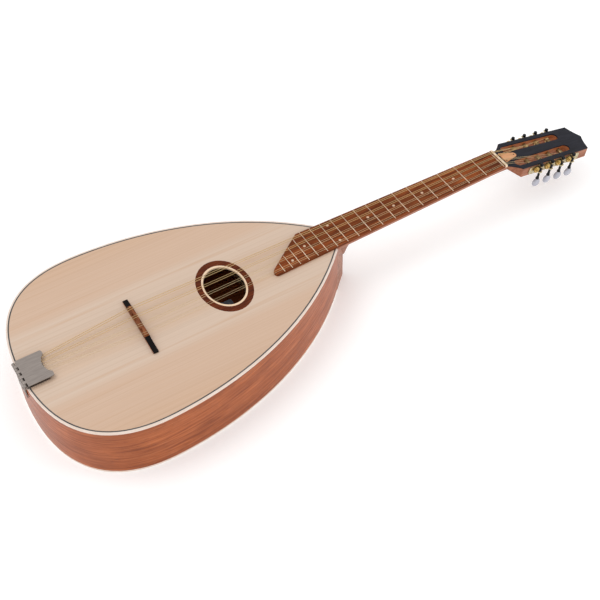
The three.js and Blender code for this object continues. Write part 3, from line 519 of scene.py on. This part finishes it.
def smooth_by_angle():
    """A node group that shades smooth across every edge flatter than the limit."""
    group = bpy.data.node_groups.new("smooth_by_angle", "GeometryNodeTree")
    group.interface.new_socket("Geometry", in_out="INPUT", socket_type="NodeSocketGeometry")
    group.interface.new_socket("Geometry", in_out="OUTPUT", socket_type="NodeSocketGeometry")
    start = group.nodes.new("NodeGroupInput")
    end = group.nodes.new("NodeGroupOutput")
    merge = add_node(group, "GeometryNodeMergeByDistance", Distance=MERGE_DISTANCE)
    faces = group.nodes.new("GeometryNodeSetShadeSmooth")
    edges = group.nodes.new("GeometryNodeSetShadeSmooth")
    edges.domain = "EDGE"
    angle = group.nodes.new("GeometryNodeInputMeshEdgeAngle")
    flat = group.nodes.new("FunctionNodeCompare")
    flat.operation = "LESS_THAN"
    flat.inputs["B"].default_value = SMOOTH_ANGLE
    group.links.new(angle.outputs["Unsigned Angle"], flat.inputs["A"])
    group.links.new(flat.outputs["Result"], edges.inputs["Shade Smooth"])
    chain = [start, merge, faces, edges, end]
    for a, b in zip(chain, chain[1:]):
        group.links.new(a.outputs[0], b.inputs[0])
    return group


def dress_nodes(materials):
    """Gives every CAD node its material and smooth shading; the treble strings are plain steel."""
    smoothing = smooth_by_angle()
    for name, obj in nodes.items():
        key = next(k for k in NODE_MATERIALS if name.startswith(k))
        obj.data.materials.clear()
        obj.data.materials.append(materials[NODE_MATERIALS[key]])
        custom = obj.data.attributes.get("custom_normal")
        if custom:
            obj.data.attributes.remove(custom)
        modifier = obj.modifiers.new("smooth", "NODES")
        modifier.node_group = smoothing
    for index in range(TUNERS_PER_SIDE + 1, 2 * TUNERS_PER_SIDE + 1):
        nodes[f"string_{index}"].data.materials[0] = materials["steel"]


def paint_faces(name, material, chosen):
    """Gives a second material to the faces of a CAD node whose centre and normal pass the test."""
    mesh = nodes[name].data
    mesh.materials.append(material)
    for face in mesh.polygons:
        if chosen(face.center, face.normal):
            face.material_index = len(mesh.materials) - 1


def paint_slots(materials):
    """The cut wood inside the two string slots is brighter than the stained outside."""
    for side in TUNER_SIDES:
        along, out, _ = bank_axes(side)
        first = joint_frame(f"drum_spin_{side}_1")[0]

        def in_slot(centre, normal, first=first, along=along, out=out):
            reach = centre - first
            across = SLOT_OUTER < -reach.dot(out) < SLOT_INNER
            return across and SLOT_START < reach.dot(along) < SLOT_END

        paint_faces("neck", materials["slot"], in_slot)


def paint_rollers(materials):
    """The shaft in the slot is a darker, duller brass than the gear outside; the darkness is partly
    painted shade of the slot.
    """
    for side in TUNER_SIDES:
        out = bank_axes(side)[1]
        for i in range(1, TUNERS_PER_SIDE + 1):
            place = joint_frame(f"drum_spin_{side}_{i}")[0]

            def on_shaft(centre, normal, place=place, out=out):
                return (centre - place).dot(out) < GEAR_START

            paint_faces(f"roller_{side}_{i}", materials["shaft_brass_and_shade"], on_shaft)


def paint_bridge_ends(materials):
    """The base's faces beside the saddle that point up, and its end faces, are given a near-black wood.
    """
    low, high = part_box("bridge_saddle")

    def near_black_face(centre, normal):
        beside_saddle = not low.y < centre.y < high.y
        return beside_saddle and (normal.z > FACING_UP or abs(normal.y) > FACING_SIDEWAYS)

    paint_faces("bridge_base", materials["black_top"], near_black_face)


# Pieces


def scene_object(name, data):
    """A new object in the scene that holds a mesh, a light or a camera."""
    obj = bpy.data.objects.new(name, data)
    bpy.context.scene.collection.objects.link(obj)
    return obj


def mesh_object(name, mesh, material):
    """A new object from a bmesh, which is freed, with one material."""
    data = bpy.data.meshes.new(name)
    mesh.to_mesh(data)
    mesh.free()
    data.materials.append(material)
    return scene_object(name, data)


def new_piece(name, mesh, material, body):
    """An object from a bmesh, riding on a CAD body."""
    bmesh.ops.recalc_face_normals(mesh, faces=mesh.faces)
    obj = mesh_object(name, mesh, material)
    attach(obj, body)


def add_loft(mesh, sections, smooth=True):
    """Joins rings of points into a closed skin, with a face on each end."""
    rings = [[mesh.verts.new(point) for point in section] for section in sections]
    count = len(rings[0])
    for low, high in zip(rings, rings[1:]):
        for i in range(count):
            j = (i + 1) % count
            face = mesh.faces.new((low[i], low[j], high[j], high[i]))
            face.smooth = smooth
    mesh.faces.new(list(reversed(rings[0])))
    mesh.faces.new(rings[-1])


def add_tube(mesh, points, radius):
    """A tube along points, with square ends."""
    sections = []
    normal = None
    for i, point in enumerate(points):
        before = points[max(i - 1, 0)]
        after = points[min(i + 1, len(points) - 1)]
        tangent = (after - before).normalized()
        if normal is None:
            normal = tangent.orthogonal()
        normal = (normal - tangent * normal.dot(tangent)).normalized()
        other = tangent.cross(normal)
        ring = []
        for k in range(TUBE_SIDES):
            angle = 2 * math.pi * k / TUBE_SIDES
            ring.append(point + (normal * math.cos(angle) + other * math.sin(angle)) * radius)
        sections.append(ring)
    add_loft(mesh, sections)


def fret_section(x, y, shrink):
    """The fret's domed profile at y, shrunk towards the board at its bevelled ends."""
    points = []
    for i in range(FRET_ARC_STEPS + 1):
        angle = math.pi * i / FRET_ARC_STEPS
        along = x + FRET_WIDTH / 2 * math.cos(angle)
        height = board_top + FRET_HEIGHT * shrink * math.sin(angle) - FRET_SINK
        points.append(Vector((along, y, height)))
    return points


def add_frets(materials):
    """The zero fret and all the others, each a little shorter than the board is wide."""
    mesh = bmesh.new()
    for number in range(FRET_COUNT + 1):
        x = fret_x(number)
        low = board_edges(x)[0] + FRET_INSET
        high = board_edges(x - FRET_WIDTH / 2)[1] - FRET_INSET  # where the slant leaves least room
        sections = [
            fret_section(x, low, FRET_END_SHRINK),
            fret_section(x, low + FRET_BEVEL, 1.0),
            fret_section(x, high - FRET_BEVEL, 1.0),
            fret_section(x, high, FRET_END_SHRINK),
        ]
        add_loft(mesh, sections)
    new_piece("frets", mesh, materials["fret_wire"], "instrument")


def add_dot(mesh, centre):
    """A slightly domed disc, let into the board at centre."""
    sections = []
    for height, part in DOT_PROFILE:
        ring = []
        for i in range(DOT_STEPS):
            angle = 2 * math.pi * i / DOT_STEPS
            offset = Vector((math.cos(angle), math.sin(angle), 0)) * DOT_RADIUS * part
            ring.append(centre + offset + Vector((0, 0, height)))
        sections.append(ring)
    add_loft(mesh, sections)


def add_dots(materials):
    mesh = bmesh.new()
    for number, offsets in DOT_FRETS.items():
        x = (fret_x(number - 1) + fret_x(number)) / 2
        low, high = board_edges(x)
        for offset in offsets:
            y = (low + high) / 2 + offset * (high - low) / 2
            add_dot(mesh, Vector((x, y, board_top)))
    new_piece("position_dots", mesh, materials["shell"], "instrument")


def add_screw(mesh, centre, axis, across, radius, height):
    """A domed head with a slot: the two halves stand apart over a lower disc."""
    third = axis.cross(across).normalized()
    half_slot = radius * SCREW_HALF_SLOT
    for sign in (1, -1):
        sections = []
        for rise, part in SCREW_PROFILE:
            ring = []
            for i in range(SCREW_STEPS + 1):
                angle = math.pi * i / SCREW_STEPS
                along = math.cos(angle) * radius * part
                out = max(math.sin(angle) * radius * part, half_slot)
                ring.append(centre + axis * (height * rise) + across * along + third * out * sign)
            sections.append(ring)
        add_loft(mesh, sections, smooth=False)
    floor = []
    for rise in (0.0, SCREW_FLOOR_HEIGHT):
        ring = []
        for i in range(2 * SCREW_STEPS):
            angle = math.pi * i / SCREW_STEPS
            spoke = across * math.cos(angle) + third * math.sin(angle)
            ring.append(centre + axis * (height * rise) + spoke * radius * SCREW_FLOOR_RADIUS)
        floor.append(ring)
    add_loft(mesh, floor, smooth=False)


def add_plate_screws(materials):
    """The screws that hold each tuner plate, before, between and after the four tuners."""
    for side in TUNER_SIDES:
        along, out, up = bank_axes(side)
        first = joint_frame(f"drum_spin_{side}_1")[0]
        mesh = bmesh.new()
        for i in range(TUNERS_PER_SIDE + 1):
            reach = i * TUNER_PITCH - TUNER_PITCH / 2 + WORM_OFFSET / 2
            spot = first + along * reach + out * PLATE_FACE
            add_screw(mesh, spot, out, up, SCREW_RADIUS, SCREW_HEIGHT)
        new_piece(f"plate_screws_{side}", mesh, materials["gold"], "instrument")


def add_gear_screws(materials):
    """The screw in the middle of each gear turns with its roller."""
    for side in TUNER_SIDES:
        along, out, _ = bank_axes(side)
        for i in range(1, TUNERS_PER_SIDE + 1):
            spot = joint_frame(f"drum_spin_{side}_{i}")[0] + out * GEAR_HUB_END
            mesh = bmesh.new()
            add_screw(mesh, spot, out, along, SCREW_RADIUS, GEAR_SCREW_HEIGHT)
            name = f"gear_screw_{side}_{i}"
            new_piece(name, mesh, materials["gold"], f"drum_{side}_{i}")


def wire(is_bass):
    """The material and the record's slot of a wound bass string or a plain treble one."""
    return ("bronze", "bronze_wire") if is_bass else ("steel", "steel_wire")


def add_string_coils(materials):
    """The turns of each string round its roller."""
    for side in TUNER_SIDES:
        along, out, up = bank_axes(side)
        look, slot = wire(side == "bass")
        for i in range(TUNERS_PER_SIDE):
            place = joint_frame(f"drum_spin_{side}_{i + 1}")[0]
            string = i if side == "bass" else 2 * TUNERS_PER_SIDE - 1 - i
            radius = STRING_RADII[string // 2]
            landing = (abs(place.y) - STRING_LANDINGS[i]) / abs(out.y)
            pitch = COIL_PITCH * radius
            start = place - out * landing
            points = []
            for k in range(COIL_TURNS * COIL_STEPS + 1):
                angle = 2 * math.pi * k / COIL_STEPS
                spin = up * math.cos(angle) + along * math.sin(angle)
                points.append(start - out * pitch * k / COIL_STEPS + spin * (ROLLER_RADIUS + radius))
            mesh = bmesh.new()
            add_tube(mesh, points, radius)
            name = f"string_coil_{side}_{i + 1}"
            new_piece(name, mesh, materials[look], f"drum_{side}_{i + 1}")


def cover_outline(inset, height):
    """The truss-rod cover's outline, moved inwards: straight sides that narrow to a rounded tip."""
    start = ROD_COVER["start"] + inset
    wide = ROD_COVER["wide"] - inset
    narrow = ROD_COVER["narrow"] - inset
    tip = ROD_COVER["end"] - ROD_COVER_NECK - inset
    points = [(start, -wide + ROD_COVER_CORNER), (start + ROD_COVER_CORNER, -wide)]
    for i in range(ROD_COVER_STEPS + 1):
        angle = math.pi * (i / ROD_COVER_STEPS - 0.5)
        points.append((ROD_COVER_NECK + tip * math.cos(angle), narrow * math.sin(angle)))
    points += [(start + ROD_COVER_CORNER, wide), (start, wide - ROD_COVER_CORNER)]
    return [head_point(s, y, height) for s, y in points]


def add_rod_cover(materials):
    """A small shield behind the nut, over the way in to the truss rod, with three screws."""
    mesh = bmesh.new()
    sections = [
        cover_outline(0, ROD_COVER_GAP),
        cover_outline(0, ROD_COVER_THICKNESS - ROD_COVER_BEVEL),
        cover_outline(ROD_COVER_BEVEL, ROD_COVER_THICKNESS),
    ]
    add_loft(mesh, sections, smooth=False)
    new_piece("truss_rod_cover", mesh, materials["cover_wood"], "instrument")
    up = joint_frame("key_spin_bass_1")[1]
    mesh = bmesh.new()
    for s, y in ROD_COVER_SCREWS:
        spot = head_point(s, y, ROD_COVER_THICKNESS)
        add_screw(mesh, spot, up, Vector((0, 1, 0)), SMALL_SCREW_RADIUS, SMALL_SCREW_HEIGHT)
    new_piece("truss_rod_cover_screws", mesh, materials["black_steel"], "instrument")


def add_tail_screws(materials):
    """Three screws through the tongue of the tailpiece into the tail block."""
    low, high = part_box("tailpiece_base")
    middle = (low.y + high.y) / 2
    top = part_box("soundboard")[1].z
    mesh = bmesh.new()
    for across, below in TAIL_SCREWS:
        spot = Vector((tang_face_x(), middle + across, top + below))
        add_screw(mesh, spot, Vector((-1, 0, 0)), Vector((0, 1, 0)), SCREW_RADIUS, SCREW_HEIGHT)
    new_piece("tail_screws", mesh, materials["nickel"], "instrument")


def add_string_loops(materials):
    """The looped end of each string, round its hook under the cover."""
    for index in range(1, 2 * TUNERS_PER_SIDE + 1):
        mesh = nodes[f"string_{index}"].data
        end_x = min(vertex.co.x for vertex in mesh.vertices)
        ring = [vertex.co for vertex in mesh.vertices if vertex.co.x < end_x + MM]
        end = sum(ring, Vector()) / len(ring)
        points = []
        for i in range(LOOP_STEPS + 1):
            angle = 2 * math.pi * i / LOOP_STEPS
            offset = Vector((LOOP_LENGTH * (math.cos(angle) - 1), LOOP_RADIUS * math.sin(angle), 0))
            points.append(end + offset)
        loop = bmesh.new()
        add_tube(loop, points, STRING_RADII[(index - 1) // 2] * LOOP_THICKNESS)
        look, slot = wire(index <= TUNERS_PER_SIDE)
        new_piece(f"string_loop_{index}", loop, materials[look], "instrument")


def add_label(materials):
    """A blank paper label glued to the back under the sound hole."""
    low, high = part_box("soundhole_ring")
    centre = (low + high) / 2
    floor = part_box("back_plate")[1].z
    half_x, half_y = LABEL_SIZE[0] / 2, LABEL_SIZE[1] / 2
    outline = []
    for sx, sy, start in LABEL_CORNERS:
        for step in range(LABEL_CORNER_STEPS + 1):
            angle = math.radians(start + 90 * step / LABEL_CORNER_STEPS)
            x = sx * (half_x - LABEL_CORNER) + LABEL_CORNER * math.cos(angle)
            y = sy * (half_y - LABEL_CORNER) + LABEL_CORNER * math.sin(angle)
            outline.append(Vector((centre.x + x, centre.y + y, floor)))
    top = [point + Vector((0, 0, LABEL_THICKNESS)) for point in outline]
    mesh = bmesh.new()
    add_loft(mesh, [outline, top], smooth=False)
    new_piece("blank_label", mesh, materials["paper"], "instrument")


# Floor, light and camera


def add_floor():
    """A wide, nearly white floor under the back plate."""
    material, tree, shader = new_material("pale_floor")
    set_finish(shader, 0.9, ior=1.1)
    speckle = noise(tree, (4, 4, 4), detail=2.0)
    dull, pale = FLOOR_TONES
    tree.links.new(ramp(tree, speckle, [(0.3, dull), (0.7, pale)]), shader.inputs["Base Color"])
    shader.inputs["Emission Color"].default_value = WHITE
    shader.inputs["Emission Strength"].default_value = FLOOR_EMISSION
    mesh = bmesh.new()
    bmesh.ops.create_grid(mesh, x_segments=2, y_segments=2, size=FLOOR_REACH)
    floor = mesh_object("floor", mesh, material)


def add_area_light(name, place, target, size, power):
    """A soft disc of light at place, aimed at target."""
    data = bpy.data.lights.new(name, "AREA")
    data.shape = "DISK"
    data.size = size
    data.energy = power
    light = scene_object(name, data)
    light.location = place
    direction = Vector(target) - Vector(place)
    light.rotation_euler = direction.to_track_quat("-Z", "Y").to_euler()


def add_light():
    """A white surround, with soft lights over the body, at the tail and by the neck."""
    world = bpy.data.worlds.new("studio")
    world.use_nodes = True
    background = world.node_tree.nodes["Background"]
    background.inputs["Color"].default_value = WHITE
    background.inputs["Strength"].default_value = WORLD_STRENGTH
    bpy.context.scene.world = world
    bpy.context.scene.view_settings.view_transform = "Standard"
    for light in AREA_LIGHTS:
        add_area_light(*light)


def add_camera():
    data = bpy.data.cameras.new("camera")
    data.lens = CAMERA_LENS
    data.sensor_width = CAMERA_SENSOR
    data.clip_end = CAMERA_CLIP_END
    camera = scene_object("camera", data)
    look = CAMERA_FORWARD.to_track_quat("-Z", "Y").to_matrix().to_4x4()
    place = Vector((zero_fret_x, 0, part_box("soundboard")[1].z)) + CAMERA_FROM_ZERO_FRET
    camera.matrix_world = Matrix.Translation(place) @ look @ Matrix.Rotation(CAMERA_ROLL, 4, "Z")
    bpy.context.scene.camera = camera


add_camera()
add_light()
add_floor()
made = make_materials()
dress_nodes(made)
paint_slots(made)
paint_rollers(made)
paint_bridge_ends(made)
add_frets(made)
add_dots(made)
add_plate_screws(made)
add_gear_screws(made)
add_string_coils(made)
add_rod_cover(made)
add_tail_screws(made)
add_string_loops(made)
add_label(made)

bpy.context.view_layer.update()
